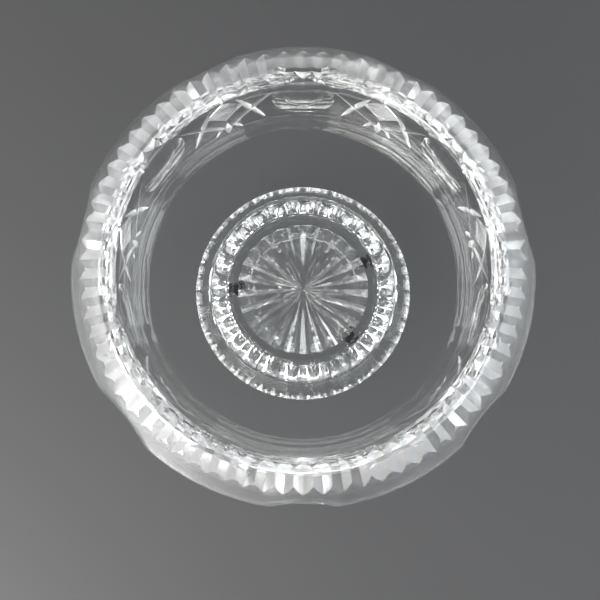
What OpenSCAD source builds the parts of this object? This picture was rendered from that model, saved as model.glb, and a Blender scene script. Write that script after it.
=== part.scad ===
/* [Bowl] */
// Height of the rim's crest above the table
lip_height = 177; // [165:1:200]
// Radius of the mouth, inside the crest
mouth_r = 139; // [134:1:141]
// Radius of the crest, the highest ring of the turned-over rim
crest_r = 146; // [144:1:150]
// Radius of the turned-over rim's lower edge, the widest place
edge_r = 178; // [174:1:185]
// How far the turned-over rim hangs down from its crest to its lower edge
rim_drop = 54; // [48:1:58]
// Thickness of the glass
wall = 10; // [8:0.5:11]
// Height above the table at which the wall turns in to the bottom
turn_height = 78; // [70:1:90]
// How far the wall leans in on its way down from the rim
taper = 4; // [0:0.5:8]
// Radius of the round foot under the bowl
foot_r = 62; // [56:1:64]
// Height of the bowl's foot
foot_height = 9; // [6:1:12]

/* [Cuts] */
// Number of scallops round the rim's edge, and of thumbprints on the wall
scallops = 7; // [5:1:9]
// Radius of the cutting wheel that grinds scallops and thumbprints
wheel_r = 150; // [120:5:200]
// Depth of a scallop at the rim's edge
scallop_depth = 5; // [3:0.5:6]
// Depth of a thumbprint in the wall
thumb_depth = 3.8; // [2:0.2:5]
// Height of the thumbprints above the table
thumb_height = 124; // [100:1:126]

/* [Stand] */
// Radius of the stand at the table
flange_r = 92; // [88:1:100]
// Height of the stand's flared lower edge
flange_height = 9; // [7:1:12]
// Thickness of the collar that the bowl's foot drops into
collar_wall = 15.5; // [12:0.5:20]
// Height of the collar's top
collar_height = 33; // [31:1:36]
// Height of the ledge that carries the pads
ledge_height = 24; // [20:1:26]
// Width of the flat ring that the stand rests on
rest_width = 12; // [8:1:14]
// Radius of the hole through the stand
hole_r = 46; // [38:1:48]
// Clear gap round the bowl's foot inside the collar
foot_gap = 1.5; // [0.5:0.5:3]

/* [Pads] */
// Diameter of a rubber pad
pad_d = 12; // [8:0.5:14]
// Thickness of a rubber pad
pad_height = 3; // [2:0.5:4]

/* [Hidden] */
$fn = 96;
// The bowl stands this far above the pads, so that it lifts without rubbing.
lift_gap = 0.3;
base_z = ledge_height + pad_height + lift_gap;
// Upper side of the foot, where the round bottom springs from it.
spring_z = base_z + foot_height;
spring_r = 40;
floor_z = spring_z + 2;
crest_drop = 9;
body_r = mouth_r + wall;
rim_thickness = 8;
edge_height = lip_height - rim_drop;
// The underside of the rim leaves the wall this far below the crest.
under_z = lip_height - 15;
steps = 12;
first_scallop = 270;
// The scallops are ground square to the rim's edge, which faces a little upwards.
scallop_lean = [cos(14), sin(14)];
scallop_lift = 3;
scallop_pitch = 360 / scallops;
pad_angles = [180, 24, 314];
// The foot stands in a round seat, with a pad at the middle of the ledge's width.
seat_r = foot_r + foot_gap;
collar_r = seat_r + collar_wall;
pad_r = (hole_r + seat_r) / 2;

// Points of a quarter ellipse about centre, from straight out (t = 0) to straight up (t = 1).
function droop(centre, width, height, t) = [
    centre[0] + width * cos(90 * t),
    centre[1] + height * sin(90 * t)
];

// Points of a quarter ellipse from the axis side (t = 0) out to the wall (t = 1).
function bottom(inner_r, outer_r, low, high, t) = [
    inner_r + (outer_r - inner_r) * sin(90 * t),
    high - (high - low) * cos(90 * t)
];

outer_bottom = [for (i = [0:steps]) bottom(spring_r, body_r - taper, spring_z, turn_height, i / steps)];
inner_bottom = [for (i = [steps:-1:0]) bottom(0, mouth_r - taper, floor_z, turn_height, i / steps)];
rim_under = [[body_r, under_z], [edge_r - rim_thickness, edge_height]];
rim_top = [
    for (i = [0:steps]) droop([crest_r, edge_height], edge_r - crest_r, lip_height - edge_height, i / steps)
];
crest_inside = [
    for (i = [1:4]) let (t = 90 * i / 4)
        [mouth_r + (crest_r - mouth_r) * (1 - sin(t)), lip_height - crest_drop * (1 - cos(t))]
];

// Section of the bowl from the axis out, up round the turned-over rim and back down inside.
module bowl_section() {
    foot = [[0, base_z], [foot_r, base_z], [foot_r, spring_z - 3], [foot_r - 4, spring_z]];
    outside = [for (p = outer_bottom) if (p[0] > foot_r) p];
    polygon(concat(foot, outside, rim_under, rim_top, crest_inside, inner_bottom));
}

// A shallow round scoop, as ground by a wheel pressed in along the radius.
module scoop(at, normal, depth) {
    centre = at + normal * (wheel_r - depth);
    translate([centre[0], 0, centre[1]])
        sphere(r = wheel_r);
}

module bowl() {
    color([0.90, 0.93, 0.93, 0.45])
    difference() {
        rotate_extrude() bowl_section();
        for (i = [0:scallops - 1])
            rotate([0, 0, first_scallop + i * scallop_pitch])
                scoop([edge_r, edge_height + scallop_lift], scallop_lean, scallop_depth);
        // The thumbprints stop short of the rim that hangs over them.
        intersection() {
            cylinder(r = body_r + 0.5, h = under_z);
            for (i = [0:scallops - 1])
                rotate([0, 0, first_scallop + (i + 0.5) * scallop_pitch])
                    scoop([body_r - taper / 2, thumb_height], [1, 0], thumb_depth);
        }
    }
}

// Section of the ring stand: flared edge, waist, collar, ledge and the hollow under it.
module stand_section() {
    waist_r = collar_r - 5;
    polygon([
        [flange_r - rest_width, 0], [flange_r - 2, 0], [flange_r, 2], [flange_r, flange_height - 2],
        [flange_r - 3, flange_height], [waist_r + 3, flange_height + 3], [waist_r, flange_height + 6],
        [waist_r, collar_height - 15], [collar_r, collar_height - 11], [collar_r, collar_height - 2],
        [collar_r - 2, collar_height], [seat_r + 1, collar_height], [seat_r, collar_height - 1],
        [seat_r, ledge_height], [hole_r, ledge_height], [hole_r, ledge_height - 9],
        [flange_r - rest_width - 12, 12]
    ]);
}

module stand() {
    color([0.90, 0.93, 0.93, 0.45])
    rotate_extrude() stand_section();
}

// A round rubber pad, stuck on the ledge.
module pad(angle) {
    color([0.04, 0.04, 0.04])
    rotate([0, 0, angle])
        translate([pad_r, 0, ledge_height])
            cylinder(h = pad_height, d = pad_d);
}

module pad_left() { pad(pad_angles[0]); }
module pad_rear_right() { pad(pad_angles[1]); }
module pad_front_right() { pad(pad_angles[2]); }

bowl();
stand();
pad_left();
pad_rear_right();
pad_front_right();
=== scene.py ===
"""Looks of a cut crystal punch bowl on its ring stand, written as a Blender add-on and run as a script."""

import math

import bmesh
import bpy
import numpy as np
from bpy.props import FloatProperty, FloatVectorProperty, IntProperty, PointerProperty
from mathutils import Matrix, Vector


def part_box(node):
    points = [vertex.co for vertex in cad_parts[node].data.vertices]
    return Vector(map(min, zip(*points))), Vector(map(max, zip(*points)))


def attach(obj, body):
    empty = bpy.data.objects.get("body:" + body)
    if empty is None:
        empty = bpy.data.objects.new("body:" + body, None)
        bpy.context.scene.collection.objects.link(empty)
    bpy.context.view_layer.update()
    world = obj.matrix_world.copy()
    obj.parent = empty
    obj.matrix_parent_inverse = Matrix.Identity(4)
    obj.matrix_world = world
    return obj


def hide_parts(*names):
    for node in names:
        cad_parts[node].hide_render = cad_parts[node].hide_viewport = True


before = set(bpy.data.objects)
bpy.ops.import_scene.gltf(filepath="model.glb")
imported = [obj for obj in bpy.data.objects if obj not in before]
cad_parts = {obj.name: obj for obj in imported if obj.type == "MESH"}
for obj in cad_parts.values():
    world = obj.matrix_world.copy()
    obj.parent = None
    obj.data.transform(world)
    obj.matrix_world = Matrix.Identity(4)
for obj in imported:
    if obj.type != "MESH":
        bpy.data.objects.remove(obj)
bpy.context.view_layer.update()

bl_info = {
    "name": "Cut Crystal Punch Bowl",
    "version": (1, 0, 0),
    "blender": (4, 5, 0),
    "location": "View3D > Sidebar > Punch Bowl",
    "description": "Makes a cut crystal punch bowl, its ring stand, rubber pads and a plain stage",
    "category": "Add Mesh",
}

BOWL_LOW, BOWL_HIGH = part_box("bowl")
STAND_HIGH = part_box("stand")[1]
PAD_NODES = ("pad_left", "pad_rear_right", "pad_front_right")

# How dull each kind of cut is left: 0 is polished, 1 is plainly ground and more is coarser.
GROUND = {
    "underside": 1.8, "rim_cuts": 0.35, "scallops": 0.15, "thumbprints": 0.3, "hatching": 0.3,
    "star_cuts": 1.0, "foot_star": 0.12, "flutes": 0.6, "hollow": 0.5}
GROUND_ROUGHNESS = 0.14  # roughness of glass that is ground to 1
CRYSTAL_INDEX = 1.55

# Root of a V cut over the rim, as (radius, height) at both ends, and the angle that the V opens to.
RIM_CUT = ((0.1425, 0.1753), (0.1668, 0.1642))
RIM_CUT_OPEN = math.radians(125)
# Scallops: height over the rim's edge, lean of the wheel and depth, then how far the cutter reaches round
# its middle and stands out of the glass.
SCALLOP_LIFT, SCALLOP_LEAN, SCALLOP_DEPTH = 0.003, math.radians(14), 0.005
SCALLOP_REACH, SCALLOP_BACK = 0.048, 0.012
# Thumbprints: height, depth and stretch upwards, then the cutter's reach and how far it stands out.
THUMB_Z, THUMB_DEPTH, THUMB_TALL = 0.119, 0.0042, 1.2
THUMB_REACH, THUMB_BACK = 0.038, 0.004

# A motif on the wall, in metres (round it, up it) from a point at height MOTIF_Z.
MOTIF_Z = 0.092
LOZENGE = ((-0.0160, 0.046), (0.0, 0.020), (0.0160, 0.046), (0.0, 0.067))
LOZENGE_CELLS, LOZENGE_DEPTH = 8, 0.0020
LONG_CUTS = (
    ((-0.043, 0.060), (0.004, -0.012)), ((0.043, 0.060), (-0.004, -0.012)),
    ((-0.034, -0.008), (-0.010, 0.067)), ((0.034, -0.008), (0.010, 0.067)),
    ((0.0, 0.012), (0.0, -0.020)),
    ((-0.013, -0.016), (-0.0024, 0.010)), ((0.013, -0.016), (0.0024, 0.010)))
LONG_CUT_OPEN = math.radians(100)
# Cuts longer than LONG_FROM are ground to LONG_DEPTH and the others to SHORT_DEPTH.
LONG_FROM, LONG_DEPTH, SHORT_DEPTH = 0.03, 0.0026, 0.0018

# Star under the foot: its radius, and how far its roots climb for each metre out.
STAR_R, STAR_RISE = 0.0545, 0.098

WARM, COOL, PLAIN = (1.0, 0.965, 0.92), (0.93, 0.965, 1.0), (1.0, 1.0, 1.0)
# Soft lights: name, compass angle, distance, height, width, height of the panel, brightness and colour.
LIGHTS = (
    ("left", 182, 1.25, 0.35, 1.15, 0.62, 5.2, PLAIN),
    ("front_left", 236, 1.25, 0.35, 1.15, 0.62, 4.6, WARM),
    ("corner", 224, 0.80, 0.22, 0.40, 0.28, 13.0, PLAIN),
    ("front_right", 308, 1.30, 0.34, 0.70, 0.60, 3.5, COOL),
    ("right", 358, 1.25, 0.35, 1.10, 0.62, 5.4, COOL),
    ("back", 90, 1.35, 0.35, 1.50, 0.60, 2.0, PLAIN),
)
LIGHT_AIM = (0, 0, 0.1)
ROOM_STRENGTH = 0.16
FLOOR_HALF, FLOOR_DROP = 4.0, 0.0002
# Camera: place to the side, to the front and over the crest, lean to the far side and angle of view.
CAMERA_SIDE, CAMERA_FRONT, CAMERA_RISE = -0.0025, -0.139, 1.094
CAMERA_LEAN, CAMERA_VIEW = math.radians(6.0), math.radians(22.62)
# Thick cut glass turns light round many times before it comes out.
ALL_BOUNCES, GLASS_BOUNCES = 48, 32


def length(name, text, value):
    """A length property in metres, with its name, description and default."""
    return FloatProperty(name=name, description=text, default=value, unit="LENGTH", precision=4)


class BowlSizes(bpy.types.PropertyGroup):
    """Sizes of the glass bowl and of its cuts."""

    mouth_r: length("Mouth radius", "Inside radius of the mouth", 0.139)
    crest_r: length("Crest radius", "Radius of the rim's highest ring", 0.146)
    edge_r: length("Edge radius", "Radius of the turned-over rim's lower edge", BOWL_HIGH.y)
    edge_z: length("Edge height", "Height of the turned-over rim's lower edge", 0.123)
    lip_z: length("Crest height", "Height of the crest", BOWL_HIGH.z)
    base_z: length("Base height", "Height of the underside of the foot", BOWL_LOW.z)
    wall: length("Wall", "Thickness of the glass", 0.010)
    rim: length("Rim thickness", "Thickness of the turned-over rim at its edge", 0.008)
    turn_z: length("Turn height", "Height at which the wall turns in to the bottom", 0.078)
    taper: length("Taper", "How far the wall leans in on its way down", 0.004)
    foot_r: length("Foot radius", "Radius of the bowl's foot", 0.062)
    foot_h: length("Foot height", "Height of the bowl's foot", 0.009)
    spring_r: length("Spring radius", "Radius at which the round bottom springs from the foot", 0.040)
    crest_drop: length("Crest drop", "How far the crest rolls down to the wall inside the mouth", 0.009)
    under_drop: length("Underside drop", "How far under the crest the rim's underside leaves the wall", 0.015)
    columns: IntProperty(name="Columns", description="Steps round the bowl", default=420, min=70)
    scallops: IntProperty(name="Scallops", description="Scallops round the rim's edge", default=7, min=3)
    notches: IntProperty(name="Rim cuts", description="V cuts round the crest", default=70, min=20)
    rays: IntProperty(name="Star rays", description="Rays of the star under the foot", default=24, min=6)
    wheel_r: length("Wheel radius", "Radius of the wheel that grinds the round scoops", 0.150)


class StandSizes(bpy.types.PropertyGroup):
    """Sizes of the ring stand."""

    flange_r: length("Flange radius", "Radius of the stand at the table", STAND_HIGH.x)
    collar_r: length("Collar radius", "Outside radius of the collar", 0.079)
    seat_r: length("Seat radius", "Inside radius of the collar", 0.0635)
    top_z: length("Collar height", "Height of the collar's top", STAND_HIGH.z)
    ledge_z: length("Ledge height", "Height of the ledge that carries the pads", 0.024)
    flange_z: length("Flange height", "Height of the flared lower edge", 0.009)
    hole_r: length("Hole radius", "Radius of the hole through the stand", 0.046)
    flutes: IntProperty(name="Flutes", description="Flutes round the flange", default=48, min=12)


class FinishColours(bpy.types.PropertyGroup):
    """Colours of the glass, the rubber and the stage."""

    crystal: FloatVectorProperty(
        name="Crystal", description="Tint of the glass", subtype="COLOR", size=3, min=0, max=1,
        default=(0.985, 0.995, 0.992))
    rubber: FloatVectorProperty(
        name="Rubber", description="Colour of the pads", subtype="COLOR", size=3, min=0, max=1,
        default=(0.006, 0.006, 0.007))
    floor: FloatVectorProperty(
        name="Floor", description="Colour of the plain floor", subtype="COLOR", size=3, min=0, max=1,
        default=(0.122, 0.122, 0.124))


# ---------------------------------------------------------------- mesh helpers


def ring_faces(rows, columns):
    """Four-sided faces of a grid of rows by columns whose last column joins its first."""
    row, column = np.meshgrid(np.arange(rows - 1), np.arange(columns), indexing="ij")
    here, after = row * columns + column, row * columns + (column + 1) % columns
    return np.stack([here, after, after + columns, here + columns], axis=-1).reshape(-1, 4)


def make_object(name, points, *groups):
    """A mesh object in metres, from points and arrays of faces, one array for each number of corners."""
    mesh = bpy.data.meshes.new(name)
    faces = [face for group in groups for face in group.tolist()]
    mesh.from_pydata(np.asarray(points).reshape(-1, 3).tolist(), [], faces)
    obj = bpy.data.objects.new(name, mesh)
    bpy.context.scene.collection.objects.link(obj)
    tidy_mesh(obj)
    return obj


def tidy_mesh(obj, gap=2e-6):
    """Merges doubles, drops faces with no area and turns every face outward."""
    work = bmesh.new()
    work.from_mesh(obj.data)
    bmesh.ops.remove_doubles(work, verts=work.verts, dist=gap)
    bmesh.ops.dissolve_degenerate(work, edges=work.edges, dist=gap)
    bmesh.ops.recalc_face_normals(work, faces=work.faces)
    work.to_mesh(obj.data)
    work.free()
    obj.data.update()


def close_ring(obj):
    """Closes a ring-shaped grid whose first and last lines are open, with four-sided faces between them."""
    work = bmesh.new()
    work.from_mesh(obj.data)
    bmesh.ops.bridge_loops(work, edges=[edge for edge in work.edges if edge.is_boundary])
    bmesh.ops.recalc_face_normals(work, faces=work.faces)
    work.to_mesh(obj.data)
    work.free()


def revolve(name, profile, columns):
    """Turns a profile of (radius, height) points about the Z axis: x = r cos a, y = r sin a, z = height."""
    turn = 2 * math.pi * np.arange(columns) / columns
    radius, height = profile[:, 0, None], profile[:, 1, None]
    points = np.stack([radius * np.cos(turn), radius * np.sin(turn), height + 0 * turn], axis=-1)
    return make_object(name, points, ring_faces(len(profile), columns))


def spin_copies(points, angles):
    """Copies a set of points about the Z axis, once for each angle in radians."""
    cos, sin = np.cos(angles)[:, None], np.sin(angles)[:, None]
    flat = points.reshape(-1, 3)
    x = flat[:, 0] * cos - flat[:, 1] * sin
    y = flat[:, 0] * sin + flat[:, 1] * cos
    return np.stack([x, y, np.broadcast_to(flat[:, 2], x.shape)], axis=-1)


def copies_object(name, points, groups, angles):
    """One mesh of the same solid repeated round the Z axis."""
    places = spin_copies(points, np.asarray(angles))
    copies, count = places.shape[:2]
    shift = count * np.arange(copies)[:, None, None]
    return make_object(name, places, *((group + shift).reshape(-1, group.shape[1]) for group in groups))


def write_ground(obj, values):
    """Writes how dull each face is left into the mesh, as the face attribute that the glass reads."""
    layer = obj.data.attributes.get("ground") or obj.data.attributes.new("ground", "FLOAT", "FACE")
    layer.data.foreach_set("value", np.broadcast_to(values, len(obj.data.polygons)).astype(np.float32))


def read_faces(obj, what):
    """Centres or normals of every face, as one row of x, y and z each."""
    values = np.empty(3 * len(obj.data.polygons))
    obj.data.polygons.foreach_get(what, values)
    return values.reshape(-1, 3)


def cut(obj, name, solid, angles):
    """Takes copies of a solid out of the object, with their faces ground as GROUND says for that name."""
    cutter = copies_object(name, *solid, angles)
    write_ground(cutter, GROUND[name])
    step = obj.modifiers.new("cut", "BOOLEAN")
    step.operation = "DIFFERENCE"
    step.solver = "MANIFOLD"
    step.object = cutter
    bpy.context.view_layer.update()
    shaped = obj.evaluated_get(bpy.context.evaluated_depsgraph_get())
    mesh = bpy.data.meshes.new_from_object(shaped)
    if len(mesh.polygons) == 0:
        raise RuntimeError(f"the cut {name} left nothing of {obj.name}")
    old = obj.data
    obj.modifiers.clear()
    obj.data = mesh
    bpy.data.meshes.remove(old)
    bpy.data.objects.remove(cutter)


def shade(obj, degrees):
    """Smooth faces with sharp edges wherever two faces meet at more than the given angle."""
    obj.data.shade_smooth()
    obj.data.set_sharp_from_angle(angle=math.radians(degrees))


def finish_piece(obj, material, body, slot, *nodes):
    """Gives a finished piece its material, its body and the nodes that it stands for; the slot argument is
    not used.
    """
    obj.data.materials.clear()
    obj.data.materials.append(material)
    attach(obj, body)
    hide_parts(*nodes)


# ---------------------------------------------------------------- bowl shape


def steps(count):
    """Even steps from 0 to 1, both ends included."""
    return np.linspace(0.0, 1.0, count)


def droop(centre, width, height, share):
    """Quarter ellipse about a centre, from straight out to straight up: out width cos a, up height sin a."""
    angle = share * math.pi / 2
    return np.stack([centre[0] + width * np.cos(angle), centre[1] + height * np.sin(angle)], axis=-1)


def basin(inner_r, outer_r, low, high, share):
    """Quarter ellipse from the axis side, where it is level, out to the wall, where it is upright."""
    angle = share * math.pi / 2
    radius = inner_r + (outer_r - inner_r) * np.sin(angle)
    return np.stack([radius, high - (high - low) * np.cos(angle)], axis=-1)


def slope(start, end, share):
    """Points of the straight line between two (radius, height) points, at each share of the way."""
    return np.stack([start[i] + (end[i] - start[i]) * share for i in (0, 1)], axis=-1)


def bowl_outside(size):
    """Outside of the bottom and the wall, from beside the foot up to where the rim turns over."""
    beside_foot, join = 0.002, 0.0015
    spring_z = size.base_z + size.foot_h
    wall_r = size.mouth_r + size.wall
    floor = basin(size.spring_r, wall_r - size.taper, spring_z, size.turn_z, steps(44))
    floor = floor[floor[:, 0] > size.foot_r + beside_foot]
    top_z = size.lip_z - size.under_drop - join
    return np.concatenate([floor, slope((wall_r - size.taper, size.turn_z), (wall_r, top_z), steps(12)[1:])])


def bowl_profile(size):
    """Section of the bowl: foot, bottom, wall, underside of the rim, its edge and top, and the inside."""
    foot_round, edge_round, clear_edge, floor_lift = 0.002, 0.0018, 0.003, 0.002
    spring_z = size.base_z + size.foot_h
    wall_r, foot_r = size.mouth_r + size.wall, size.foot_r
    bevel = steps(4) * math.pi / 2
    foot_edge = np.stack([
        foot_r - foot_round + foot_round * np.sin(bevel),
        size.base_z + foot_round - foot_round * np.cos(bevel)], axis=-1)
    foot = np.concatenate([
        [[0.0, size.base_z], [size.spring_r / 2, size.base_z], [size.spring_r, size.base_z]], foot_edge,
        [[foot_r, spring_z - 0.003], [foot_r - 0.0015, spring_z - 0.0008], [foot_r - 0.003, spring_z]]])
    rim_in = size.edge_r - size.rim
    under = slope((wall_r, size.lip_z - size.under_drop), (rim_in, size.edge_z), steps(14)[1:-1])
    turn = steps(7) * math.pi / 2
    inner_edge = np.stack([
        rim_in + edge_round * (1 - np.cos(turn)),
        size.edge_z + edge_round * (1 - np.sin(turn))], axis=-1)
    outer_edge = np.stack([
        size.edge_r - edge_round * (1 - np.sin(turn)),
        size.edge_z + edge_round * (1 - np.cos(turn))], axis=-1)
    top = droop((size.crest_r, size.edge_z), size.edge_r - size.crest_r, size.lip_z - size.edge_z, steps(34))
    top = top[top[:, 1] > size.edge_z + clear_edge]
    roll = steps(10)[1:] * math.pi / 2
    crest = np.stack([
        size.mouth_r + (size.crest_r - size.mouth_r) * (1 - np.sin(roll)),
        size.lip_z - size.crest_drop * (1 - np.cos(roll))], axis=-1)
    low_r, crest_end = size.mouth_r - size.taper, (size.mouth_r, size.lip_z - size.crest_drop)
    drop = slope(crest_end, (low_r, size.turn_z), steps(14)[1:-1])
    inside = basin(0.0, low_r, spring_z + floor_lift, size.turn_z, 1 - steps(34))
    return np.concatenate([foot, bowl_outside(size), under, inner_edge, outer_edge, top, crest, drop, inside])


class Wall:
    """The wall's outside as a surface: x runs round it and s up it, in metres, from a point at middle_z."""

    def __init__(self, size, middle_z):
        self.line = bowl_outside(size)
        gaps = np.hypot(*np.diff(self.line, axis=0).T)
        self.run = np.concatenate([[0.0], np.cumsum(gaps)])
        self.zero = np.interp(middle_z, self.line[:, 1], self.run)
        self.around = size.mouth_r + size.wall - size.taper / 2

    def section(self, run):
        """Radius and height of the wall at a distance along its section."""
        return np.array([np.interp(run, self.run, self.line[:, i]) for i in (0, 1)])

    def at(self, x, s, lift):
        """Point x round and s up, lifted out along the wall's normal, for a motif centred on the +X axis."""
        run, step = s + self.zero, 0.002
        r, z = self.section(run)
        dr, dz = self.section(run + step) - self.section(run - step)
        size = np.hypot(dr, dz)
        r, z = r + lift * dz / size, z - lift * dr / size
        angle = x / self.around
        return np.stack([r * np.cos(angle), r * np.sin(angle), z], axis=-1)


def scoop_solid(at, lean, wheel_r, depth, reach, back, tall=1.0):
    """A cap pressed in: R - depth - sqrt(R^2 - d^2) over the tangent plane, tall times as high as wide."""
    rows, columns = 14, 72
    away = reach * steps(rows)[:, None]
    turn = 2 * math.pi * np.arange(columns)[None, :] / columns
    outward = np.array([math.cos(lean), 0.0, math.sin(lean)])
    sideways = np.array([0.0, 1.0, 0.0])
    upward = np.array([-math.sin(lean), 0.0, math.cos(lean)])
    height = wheel_r - depth - np.sqrt(wheel_r**2 - away**2)
    side, rise = away * np.cos(turn), tall * away * np.sin(turn)
    place = np.array([at[0], 0.0, at[1]])

    def surface(lift):
        return place + lift[..., None] * outward + side[..., None] * sideways + rise[..., None] * upward

    front = surface(height + 0 * turn)
    rear = surface(np.full_like(side, back))[::-1]
    return np.concatenate([front, rear]), [ring_faces(2 * rows, columns)]


def notch_solid(inner, outer, open_angle):
    """A V wheel cut along a straight root from inner to outer, (radius, height) points on the rim."""
    reach, lift = 0.008, 0.0066
    half = lift * math.tan(open_angle / 2)
    inner, outer = np.array(inner), np.array(outer)
    along = (outer - inner) / np.hypot(*(outer - inner))
    away = lift * np.array([-along[1], along[0]])
    ends = [inner - along * reach, outer + along * reach]
    points = [
        [[p[0], 0.0, p[1]], [p[0] + away[0], half, p[1] + away[1]], [p[0] + away[0], -half, p[1] + away[1]]]
        for p in ends]
    caps = np.array([[0, 1, 2], [3, 5, 4]])
    sides = np.array([[0, 3, 4, 1], [1, 4, 5, 2], [2, 5, 3, 0]])
    return np.array(points).reshape(-1, 3), [caps, sides]


def mitre_solid(wall, start, end, depth, open_angle):
    """A long V cut whose root dips as depth (1 - (2t - 1)^2), so that it comes to a point at both ends."""
    count, lift, blunt = 25, 0.0008, 0.0002
    t = steps(count)
    start, end = np.array(start), np.array(end)
    path = start + (end - start) * t[:, None]
    across = np.array([-(end - start)[1], (end - start)[0]]) / np.hypot(*(end - start))
    dip = (depth + blunt) * (1 - (2 * t - 1) ** 2) - blunt
    half = (dip + lift) * math.tan(open_angle / 2)
    left, right = path + half[:, None] * across, path - half[:, None] * across
    over = np.full(count, lift)
    points = np.stack([
        wall.at(path[:, 0], path[:, 1], -dip), wall.at(left[:, 0], left[:, 1], over),
        wall.at(right[:, 0], right[:, 1], over)], axis=1)
    last = 3 * (count - 1)
    return points.reshape(-1, 3), [ring_faces(count, 3), np.array([[2, 1, 0], [last, last + 1, last + 2]])]


def hatch_solid(wall, corners, cells, depth):
    """Crossed fine V cuts in a four-cornered patch: each cell is left as a pyramid, tip at the surface."""
    under_surface, over_surface = 0.00005, 0.0015
    left, low, right, high = (np.array(c) for c in corners)
    line = steps(cells + 1)
    u, v = np.meshgrid(line, line, indexing="ij")
    middle = (line[1:] + line[:-1]) / 2
    mu, mv = np.meshgrid(middle, middle, indexing="ij")

    def patch(a, b):
        a, b = a[..., None], b[..., None]
        return (1 - a) * (1 - b) * left + a * (1 - b) * low + a * b * right + (1 - a) * b * high

    net, tips = patch(u, v).reshape(-1, 2), patch(mu, mv).reshape(-1, 2)
    front = wall.at(net[:, 0], net[:, 1], np.full(len(net), -depth))
    peaks = wall.at(tips[:, 0], tips[:, 1], np.full(len(tips), -under_surface))
    rear = wall.at(net[:, 0], net[:, 1], np.full(len(net), over_surface))
    side = cells + 1
    row, column = np.meshgrid(np.arange(cells), np.arange(cells), indexing="ij")
    a = (row * side + column).ravel()
    b, c, d = a + side, a + side + 1, a + 1
    tip = len(net) + np.arange(cells * cells)
    behind = len(net) + len(tips)
    triangles = [np.stack([p, q, tip], axis=-1) for p, q in ((a, b), (b, c), (c, d), (d, a))]
    triangles += [np.stack([a, d, c], axis=-1) + behind, np.stack([a, c, b], axis=-1) + behind]
    count = np.arange(cells)
    border = np.concatenate([
        count * side, cells * side + count, (cells - count) * side + cells, cells - count])
    following = np.roll(border, -1)
    sides = np.stack([border, border + behind, following + behind, following], axis=-1)
    return np.concatenate([front, peaks, rear]), [np.concatenate(triangles), sides]


def star_solid(rays, base_z, outer_r, rise):
    """A star of V rays in a flat underside: each root climbs on its way out, by rise for each metre."""
    ridge, hub_rise, depth_below, rings = 0.00008, 0.0002, 0.002, (0.03, 0.35, 0.7, 1.0)
    columns = rays * 2
    turn = 2 * math.pi * np.arange(columns) / columns
    is_root = (np.arange(columns) % 2 == 0)[None, :]
    radius = outer_r * np.array(rings)[:, None] + 0 * turn
    height = base_z + np.where(is_root, rise * radius, ridge)
    upper = np.stack([radius * np.cos(turn), radius * np.sin(turn), height], axis=-1)
    hub, nadir, lower_rim = np.zeros((1, columns, 3)), np.zeros((1, columns, 3)), upper[-1:].copy()
    hub[..., 2] = base_z + hub_rise
    nadir[..., 2] = lower_rim[..., 2] = base_z - depth_below
    points = np.concatenate([hub, upper, lower_rim, nadir])
    return points.reshape(-1, 3), [ring_faces(len(points), columns)]


def mark_underside(bowl, size):
    """Marks the turned-over rim's underside as ground, since a polishing wheel can't reach it."""
    least_tilt, clear_of_wall = -0.2, 0.0005
    x, y, z = read_faces(bowl, "center").T
    facing_down = read_faces(bowl, "normal")[:, 2] < least_tilt
    past_wall = np.hypot(x, y) > size.mouth_r + size.wall + clear_of_wall
    write_ground(bowl, np.where(past_wall & facing_down & (z > size.edge_z), GROUND["underside"], 0.0))


def bowl_object(size):
    """The whole bowl: a turned solid with every cut ground into it in the order that a cutter works."""
    bowl = revolve("bowl_crystal_body", bowl_profile(size), size.columns)
    mark_underside(bowl, size)
    front = -math.pi / 2
    pitch = 2 * math.pi / size.scallops
    valleys = front + pitch * np.arange(size.scallops)
    lobes = valleys + pitch / 2

    notch = notch_solid(*RIM_CUT, RIM_CUT_OPEN)
    notch_angles = front + 2 * math.pi * np.arange(size.notches) / size.notches
    for first in (0, 1):
        cut(bowl, "rim_cuts", notch, notch_angles[first::2])

    edge = (size.edge_r, size.edge_z + SCALLOP_LIFT)
    scallop = scoop_solid(edge, SCALLOP_LEAN, size.wheel_r, SCALLOP_DEPTH, SCALLOP_REACH, SCALLOP_BACK)
    cut(bowl, "scallops", scallop, valleys)
    wall_r = size.mouth_r + size.wall - size.taper / 2
    thumb = scoop_solid(
        (wall_r, THUMB_Z), 0.0, size.wheel_r, THUMB_DEPTH, THUMB_REACH, THUMB_BACK, THUMB_TALL)
    cut(bowl, "thumbprints", thumb, lobes)

    wall = Wall(size, MOTIF_Z)
    cut(bowl, "hatching", hatch_solid(wall, LOZENGE, LOZENGE_CELLS, LOZENGE_DEPTH), valleys)
    for start, end in LONG_CUTS:
        depth = LONG_DEPTH if math.dist(start, end) > LONG_FROM else SHORT_DEPTH
        cut(bowl, "star_cuts", mitre_solid(wall, start, end, depth, LONG_CUT_OPEN), valleys)

    cut(bowl, "foot_star", star_solid(size.rays, size.base_z, STAR_R, STAR_RISE), [math.pi / size.rays])
    tidy_mesh(bowl, gap=4e-6)
    shade(bowl, degrees=10.5)
    return bowl


# ---------------------------------------------------------------- stand and pads


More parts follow.
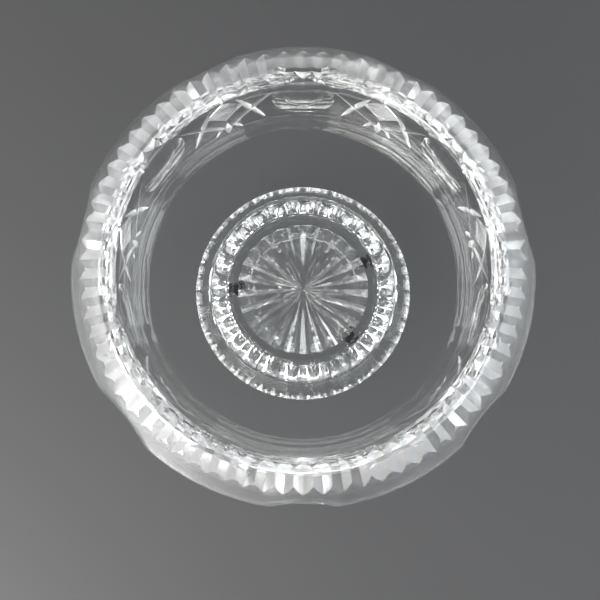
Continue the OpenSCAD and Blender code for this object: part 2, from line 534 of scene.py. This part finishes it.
def stand_object(size):
    """Ring stand: its outer edge is fluted above and below, and the rim of the hollow under it has V cuts.

    Each corner is a sloping line moved out or in, by a circle's arc from root to ridge for a flute, and by a
    folded line for a V cut. Four half-round beads run round the top of the flange.
    """
    flute_columns, bend = 8, 0.85
    columns = size.flutes * flute_columns
    turn = 2 * math.pi * np.arange(columns) / columns
    across = np.abs((np.arange(columns) % flute_columns) / (flute_columns / 2) - 1)
    arc = (1 - np.sqrt(1 - (bend * across) ** 2)) / (1 - math.sqrt(1 - bend**2))
    fold = np.abs((np.arange(columns) % (2 * flute_columns)) / flute_columns - 1)
    outer, flange, collar, seat, hole = size.flange_r, size.flange_z, size.collar_r, size.seat_r, size.hole_r
    top, ledge = size.top_z, size.ledge_z
    fine, waist, hollow_drop = 0.0002, 0.0022, 0.0090
    bead_in, bead_up, bead_height = 0.0020, 0.0007, 0.0016
    v_in, v_down = 0.0032 * fold, 0.0024 * fold
    corners = [
        (outer - 0.0118, 0.0),
        (outer - 0.0050 + 0.0012 * arc, 0.0),
        (outer - fine, 0.0048 - 0.0012 * arc),
        (outer, 0.0052),
        (outer - 0.0055 + 0.0022 * arc, flange - 0.0008 + 0.0006 * arc)]
    for bead in range(4):
        for share in (0.0, 0.12, 0.3, 0.5, 0.7, 0.88):
            tread = outer - 0.0056 - bead_in * (bead + share)
            rise = bead_up * (bead + share) + bead_height * math.sin(math.pi * share) ** 0.7
            corners.append((tread, flange + rise))
    corners += [
        (collar - 0.0008, 0.0122), (collar - waist, 0.0155), (collar - waist, top - 0.0100),
        (collar - fine, top - 0.0080), (collar, top - 0.0074), (collar, top - 0.0012),
        (collar - 0.0003, top - 0.0003), (collar - 0.0012, top), (seat + 0.0012, top),
        (seat + 0.0003, top - 0.0004), (seat, top - 0.0013), (seat, ledge + 0.0012),
        (seat - 0.0004, ledge + 0.0003), (seat - 0.0013, ledge), (hole + fine, ledge), (hole, ledge - fine),
        (hole, ledge - hollow_drop + fine), (hole + fine, ledge - hollow_drop), (outer - 0.0285, 0.0150),
        (outer - 0.0250 - v_in, 0.0136 - v_down),
        (outer - 0.0122 - v_in, fine)]
    radius, height = (np.stack([corner[i] + 0 * turn for corner in corners]) for i in (0, 1))
    points = np.stack([radius * np.cos(turn), radius * np.sin(turn), height], axis=-1)
    stand = make_object("stand_crystal_ring", points, ring_faces(len(corners), columns))
    close_ring(stand)
    mark_flutes(stand, size)
    shade(stand, degrees=17)
    return stand


def mark_flutes(stand, size):
    """Marks the fluted corners of the stand as ground: the flange's outer edge and the rim of the hollow."""
    flute_in, flute_low = 0.0054, 0.0003
    hollow_in, hollow_low, hollow_high, hollow_slope = 0.0262, 0.0002, 0.0165, 0.0090
    x, y, z = read_faces(stand, "center").T
    inward = size.flange_r - np.hypot(x, y)
    flutes = (inward < flute_in) & (z > flute_low)
    hollow = (inward < hollow_in) & (z > hollow_low) & (z < hollow_high) & (z < inward - hollow_slope)
    write_ground(stand, np.where(flutes, GROUND["flutes"], np.where(hollow, GROUND["hollow"], 0.0)))


def pad_object(node):
    """A rubber pad in its node's place: a flat disc whose top is a shallow dome with a rounded shoulder."""
    low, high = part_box(node)
    centre = (low + high) / 2
    radius = (high.x - low.x) / 2
    height = high.z - low.z
    side, flatness, doming, foot_in, foot_up = 0.12, 0.55, 1.15, 0.95, 0.05
    turn = steps(16) * math.pi / 2
    dome = np.stack([
        radius * np.cos(turn) ** flatness, height * (side + (1 - side) * np.sin(turn) ** doming)], axis=-1)
    profile = np.concatenate([[[0.0, 0.0], [radius * foot_in, 0.0], [radius, height * foot_up]], dome])
    pad = revolve(node + "_dome", profile, 48)
    pad.data.transform(Matrix.Translation((centre.x, centre.y, low.z)))
    shade(pad, degrees=35)
    return pad


# ---------------------------------------------------------------- materials


def add_socket(group, name, kind, way, value=None):
    """A named socket on a node group, with its default."""
    socket = group.interface.new_socket(name=name, in_out=way, socket_type=kind)
    if value is not None:
        socket.default_value = value


def handling_group():
    """Fine marks of handling, washing and dust: a colour, a roughness and a normal that vary over a piece."""
    if "handling_marks" in bpy.data.node_groups:
        return bpy.data.node_groups["handling_marks"]
    group = bpy.data.node_groups.new("handling_marks", "ShaderNodeTree")
    add_socket(group, "Scale", "NodeSocketFloat", "INPUT", 60.0)
    add_socket(group, "Clean Colour", "NodeSocketColor", "INPUT", (1, 1, 1, 1))
    add_socket(group, "Marked Colour", "NodeSocketColor", "INPUT", (0.95, 0.95, 0.95, 1))
    add_socket(group, "Clean Roughness", "NodeSocketFloat", "INPUT", 0.0)
    add_socket(group, "Marked Roughness", "NodeSocketFloat", "INPUT", 0.05)
    add_socket(group, "Bump", "NodeSocketFloat", "INPUT", 0.02)
    add_socket(group, "Colour", "NodeSocketColor", "OUTPUT")
    add_socket(group, "Roughness", "NodeSocketFloat", "OUTPUT")
    add_socket(group, "Normal", "NodeSocketVector", "OUTPUT")
    nodes, links = group.nodes, group.links
    given, put = nodes.new("NodeGroupInput"), nodes.new("NodeGroupOutput")
    place = nodes.new("ShaderNodeTexCoord")
    cloud, grain = nodes.new("ShaderNodeTexNoise"), nodes.new("ShaderNodeTexNoise")
    cloud.inputs["Detail"].default_value = 4.0
    grain.inputs["Detail"].default_value = 2.0
    finer = nodes.new("ShaderNodeMath")
    finer.operation = "MULTIPLY"
    finer.inputs[1].default_value = 9.0
    spread = nodes.new("ShaderNodeMapRange")
    spread.inputs["From Min"].default_value = 0.45
    spread.inputs["From Max"].default_value = 0.72
    tint = nodes.new("ShaderNodeMix")
    tint.data_type = "RGBA"
    dull = nodes.new("ShaderNodeMix")
    dull.data_type = "FLOAT"
    bump = nodes.new("ShaderNodeBump")
    bump.inputs["Distance"].default_value = 0.0004
    links.new(given.outputs["Scale"], cloud.inputs["Scale"])
    links.new(given.outputs["Scale"], finer.inputs[0])
    links.new(finer.outputs[0], grain.inputs["Scale"])
    for noise in (cloud, grain):
        links.new(place.outputs["Object"], noise.inputs["Vector"])
    links.new(cloud.outputs["Fac"], spread.inputs["Value"])
    links.new(spread.outputs["Result"], tint.inputs["Factor"])
    links.new(given.outputs["Clean Colour"], tint.inputs["A"])
    links.new(given.outputs["Marked Colour"], tint.inputs["B"])
    links.new(spread.outputs["Result"], dull.inputs["Factor"])
    links.new(given.outputs["Clean Roughness"], dull.inputs["A"])
    links.new(given.outputs["Marked Roughness"], dull.inputs["B"])
    links.new(grain.outputs["Fac"], bump.inputs["Height"])
    links.new(given.outputs["Bump"], bump.inputs["Strength"])
    links.new(tint.outputs["Result"], put.inputs["Colour"])
    links.new(dull.outputs["Result"], put.inputs["Roughness"])
    links.new(bump.outputs["Normal"], put.inputs["Normal"])
    return group


def marked_material(name, values):
    """A Principled material whose colour, roughness and normal come from the handling group."""
    material = bpy.data.materials.new(name)
    material.use_nodes = True
    nodes, links = material.node_tree.nodes, material.node_tree.links
    shader = nodes["Principled BSDF"]
    marks = nodes.new("ShaderNodeGroup")
    marks.node_tree = handling_group()
    marks.name = "Handling Marks"
    for socket, value in values.items():
        marks.inputs[socket].default_value = value
    links.new(marks.outputs["Colour"], shader.inputs["Base Color"])
    links.new(marks.outputs["Roughness"], shader.inputs["Roughness"])
    links.new(marks.outputs["Normal"], shader.inputs["Normal"])
    return material


def crystal_material(name, tint, scale):
    """Clear crystal with a faint tint: roughness = handling marks + GROUND_ROUGHNESS x the ground value."""
    marked = tuple(0.985 * c for c in tint)
    material = marked_material(name, {
        "Scale": scale, "Clean Colour": (*tint, 1), "Marked Colour": (*marked, 1),
        "Clean Roughness": 0.0, "Marked Roughness": 0.004, "Bump": 0.0008})
    nodes, links = material.node_tree.nodes, material.node_tree.links
    shader = nodes["Principled BSDF"]
    ground, dull = nodes.new("ShaderNodeAttribute"), nodes.new("ShaderNodeMath")
    ground.attribute_name = "ground"
    dull.operation = "MULTIPLY_ADD"
    dull.inputs[1].default_value = GROUND_ROUGHNESS
    marks = nodes["Handling Marks"].outputs["Roughness"]
    links.new(ground.outputs["Fac"], dull.inputs[0])
    links.new(marks, dull.inputs[2])
    links.new(dull.outputs[0], shader.inputs["Roughness"])
    shader.inputs["Transmission Weight"].default_value = 1.0
    shader.inputs["IOR"].default_value = CRYSTAL_INDEX
    shader.inputs["Metallic"].default_value = 0.0
    let_light_through(material, shader)
    return material


def let_light_through(material, shader):
    """Lets soft light pass straight through a clear material, so that what is under it isn't left dark."""
    nodes, links = material.node_tree.nodes, material.node_tree.links
    path, clear = nodes.new("ShaderNodeLightPath"), nodes.new("ShaderNodeBsdfTransparent")
    clear.inputs["Color"].default_value = (0.93, 0.94, 0.94, 1.0)
    either, mix = nodes.new("ShaderNodeMath"), nodes.new("ShaderNodeMixShader")
    either.operation = "MAXIMUM"
    links.new(path.outputs["Is Shadow Ray"], either.inputs[0])
    links.new(path.outputs["Is Diffuse Ray"], either.inputs[1])
    links.new(either.outputs[0], mix.inputs[0])
    links.new(shader.outputs["BSDF"], mix.inputs[1])
    links.new(clear.outputs["BSDF"], mix.inputs[2])
    links.new(mix.outputs["Shader"], nodes["Material Output"].inputs["Surface"])


def rubber_material(tint):
    """Black rubber with a soft gloss, fine dust and a grain."""
    return marked_material("pad_black_rubber", {
        "Scale": 500.0, "Clean Colour": (*tint, 1), "Marked Colour": (0.03, 0.03, 0.03, 1),
        "Clean Roughness": 0.18, "Marked Roughness": 0.42, "Bump": 0.25})


def floor_material(tint):
    """Plain seamless paper with a very faint fibre."""
    lighter = tuple(min(1.0, 1.03 * c) for c in tint)
    return marked_material("floor_paper", {
        "Scale": 3.0, "Clean Colour": (*tint, 1), "Marked Colour": (*lighter, 1),
        "Clean Roughness": 0.75, "Marked Roughness": 0.85, "Bump": 0.05})


# ---------------------------------------------------------------- stage


def soft_light(name, place, aim, width, height, brightness, colour):
    """A soft rectangular light at a place, turned to face a point: power = pi x area x brightness."""
    lamp = bpy.data.lights.new(name, "AREA")
    lamp.shape = "RECTANGLE"
    lamp.size, lamp.size_y = width, height
    lamp.energy = math.pi * width * height * brightness
    lamp.color = colour
    obj = bpy.data.objects.new(name, lamp)
    obj.location = place
    obj.rotation_euler = (Vector(aim) - Vector(place)).to_track_quat("-Z", "Y").to_euler()
    bpy.context.scene.collection.objects.link(obj)
    return obj


def room_light(strength):
    """An even, dim room round the stage."""
    world = bpy.data.worlds.new("room")
    world.use_nodes = True
    back = world.node_tree.nodes["Background"]
    back.inputs["Color"].default_value = (0.95, 0.97, 1.0, 1.0)
    back.inputs["Strength"].default_value = strength
    bpy.context.scene.world = world


def overhead_camera():
    """A camera almost straight above the bowl, leaning a little towards the far side."""
    lens = bpy.data.cameras.new("overhead")
    lens.sensor_width = 36.0
    lens.angle = CAMERA_VIEW
    camera = bpy.data.objects.new("overhead", lens)
    camera.location = (CAMERA_SIDE, CAMERA_FRONT, BOWL_HIGH.z + CAMERA_RISE)
    camera.rotation_euler = (CAMERA_LEAN, 0.0, 0.0)
    bpy.context.scene.collection.objects.link(camera)
    bpy.context.scene.camera = camera


def floor_object(half):
    """A flat sheet just under the stand, as a grid of x and y."""
    cells = 4
    side = cells + 1
    line = np.linspace(-half, half, side)
    x, y = np.meshgrid(line, line, indexing="ij")
    row, column = np.meshgrid(np.arange(cells), np.arange(cells), indexing="ij")
    first = (row * side + column).ravel()
    faces = np.stack([first, first + side, first + side + 1, first + 1], axis=-1)
    return make_object("floor", np.stack([x, y, 0 * x - FLOOR_DROP], axis=-1), faces)


# ---------------------------------------------------------------- operators


class PUNCH_OT_bowl(bpy.types.Operator):
    """Makes the cut crystal bowl, which lifts off its stand"""

    bl_idname = "punch.bowl"
    bl_label = "Crystal bowl"

    def execute(self, context):
        tint = tuple(context.scene.punch_finish.crystal)
        bowl = bowl_object(context.scene.punch_bowl)
        glass = crystal_material("clear_crystal_bowl", tint, scale=40.0)
        finish_piece(bowl, glass, "bowl", "bowl_crystal", "bowl")
        return {"FINISHED"}


class PUNCH_OT_stand(bpy.types.Operator):
    """Makes the fluted ring stand"""

    bl_idname = "punch.stand"
    bl_label = "Ring stand"

    def execute(self, context):
        tint = tuple(context.scene.punch_finish.crystal)
        stand = stand_object(context.scene.punch_stand)
        glass = crystal_material("clear_crystal_stand", tint, scale=70.0)
        finish_piece(stand, glass, "stand", "stand_crystal", "stand")
        return {"FINISHED"}


class PUNCH_OT_pads(bpy.types.Operator):
    """Makes the three rubber pads between the stand and the bowl"""

    bl_idname = "punch.pads"
    bl_label = "Rubber pads"

    def execute(self, context):
        rubber = rubber_material(tuple(context.scene.punch_finish.rubber))
        for node in PAD_NODES:
            finish_piece(pad_object(node), rubber, "stand", "pad_rubber", node)
        return {"FINISHED"}


class PUNCH_OT_stage(bpy.types.Operator):
    """Makes the floor, the soft lights and the overhead camera"""

    bl_idname = "punch.stage"
    bl_label = "Stage"

    def execute(self, context):
        floor = floor_object(FLOOR_HALF)
        floor.data.materials.append(floor_material(tuple(context.scene.punch_finish.floor)))
        room_light(ROOM_STRENGTH)
        for name, compass, away, height, wide, tall, brightness, colour in LIGHTS:
            angle = math.radians(compass)
            place = (away * math.cos(angle), away * math.sin(angle), height)
            soft_light(name + "_softbox", place, LIGHT_AIM, wide, tall, brightness, colour)
        overhead_camera()
        scene = context.scene
        scene.view_settings.view_transform = "Standard"
        scene.cycles.max_bounces = ALL_BOUNCES
        scene.cycles.transmission_bounces = GLASS_BOUNCES
        scene.cycles.glossy_bounces = GLASS_BOUNCES
        return {"FINISHED"}


class PUNCH_PT_panel(bpy.types.Panel):
    """Lists the bowl's sizes, finishes and steps in the sidebar"""

    bl_label = "Punch Bowl"
    bl_idname = "PUNCH_PT_panel"
    bl_space_type = "VIEW_3D"
    bl_region_type = "UI"
    bl_category = "Punch Bowl"

    def draw(self, context):
        for settings in (context.scene.punch_bowl, context.scene.punch_stand, context.scene.punch_finish):
            box = self.layout.box()
            for name in settings.__annotations__:
                box.prop(settings, name)
        for operator in OPERATORS:
            self.layout.operator(operator.bl_idname)


SETTINGS = (BowlSizes, StandSizes, FinishColours)
OPERATORS = (PUNCH_OT_bowl, PUNCH_OT_stand, PUNCH_OT_pads, PUNCH_OT_stage)


def register():
    """Registers the settings, the operators and the panel."""
    for item in (*SETTINGS, *OPERATORS, PUNCH_PT_panel):
        bpy.utils.register_class(item)
    bpy.types.Scene.punch_bowl = PointerProperty(type=BowlSizes)
    bpy.types.Scene.punch_stand = PointerProperty(type=StandSizes)
    bpy.types.Scene.punch_finish = PointerProperty(type=FinishColours)


def unregister():
    """Takes everything that register() added away again."""
    for name in ("punch_bowl", "punch_stand", "punch_finish"):
        delattr(bpy.types.Scene, name)
    for item in reversed((*SETTINGS, *OPERATORS, PUNCH_PT_panel)):
        bpy.utils.unregister_class(item)


def main():
    """Registers the add-on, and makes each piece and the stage."""
    register()
    bpy.ops.punch.bowl()
    bpy.ops.punch.stand()
    bpy.ops.punch.pads()
    bpy.ops.punch.stage()


if __name__ == "__main__":
    main()
